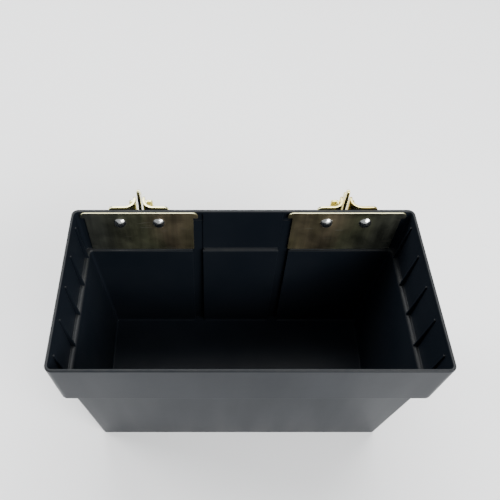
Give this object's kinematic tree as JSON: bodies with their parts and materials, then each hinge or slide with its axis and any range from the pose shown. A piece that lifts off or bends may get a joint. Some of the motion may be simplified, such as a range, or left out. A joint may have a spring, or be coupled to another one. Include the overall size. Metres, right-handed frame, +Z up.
{
  "type": "hanging parts bin",
  "caption": "Moulded bin with a wide collar and two riveted steel hangers whose spring-latched hooks clip into a slotted cargo rail.",
  "frame": {"origin": "on the bin's flat bottom, under the middle of the rim's width and depth", "axes": "+Z up, +Y to the rear towards the rail, +X to the right seen from the front, along the width"},
  "size_m": [0.332, 0.1929, 0.2155],
  "materials": {
    "bin_plastic": "satin, fine moulded grain",
    "yellow_zinc_plate": "yellow zinc plate, iridescent",
    "yellow_zinc_cheek": "yellow zinc plate, bright",
    "yellow_zinc_lever": "yellow zinc plate, bright",
    "pin_steel": "turned, clear zinc",
    "spring_steel": "drawn wire",
    "rivet_steel": "bright"
  },
  "bodies": {
    "bin": {"bin_body": "bin_plastic", "hanger_plate_left": "yellow_zinc_plate", "hanger_plate_right": "yellow_zinc_plate", "cheek_left_outer": "yellow_zinc_cheek", "cheek_left_inner": "yellow_zinc_cheek", "cheek_right_inner": "yellow_zinc_cheek", "cheek_right_outer": "yellow_zinc_cheek", "latch_pin_left": "pin_steel", "latch_pin_right": "pin_steel", "latch_spring_left": "spring_steel", "latch_spring_right": "spring_steel", "spacer_left": "pin_steel", "spacer_right": "pin_steel", "rivet_left_outer": "rivet_steel", "rivet_left_inner": "rivet_steel", "rivet_right_inner": "rivet_steel", "rivet_right_outer": "rivet_steel", "washer_left_outer": "rivet_steel", "washer_left_inner": "rivet_steel", "washer_right_inner": "rivet_steel", "washer_right_outer": "rivet_steel"},
    "latch_left": {"latch_lever_left": "yellow_zinc_lever"},
    "latch_right": {"latch_lever_right": "yellow_zinc_lever"}
  },
  "joints": [
    {"name": "latch_left_swing", "type": "hinge", "parent": "bin", "child": "latch_left", "pos_m": [-0.1016, 0.0985, 0.175], "axis": [1, 0, 0], "range_deg": [0, 14], "stiffness_Nm_per_rad": 0.2, "springref_deg": -34.38, "deforming": ["latch_spring_left"]},
    {"name": "latch_right_swing", "type": "hinge", "parent": "bin", "child": "latch_right", "pos_m": [0.1016, 0.0985, 0.175], "axis": [1, 0, 0], "range_deg": [0, 14], "stiffness_Nm_per_rad": 0.2, "springref_deg": -34.38, "deforming": ["latch_spring_right"]}
  ]
}
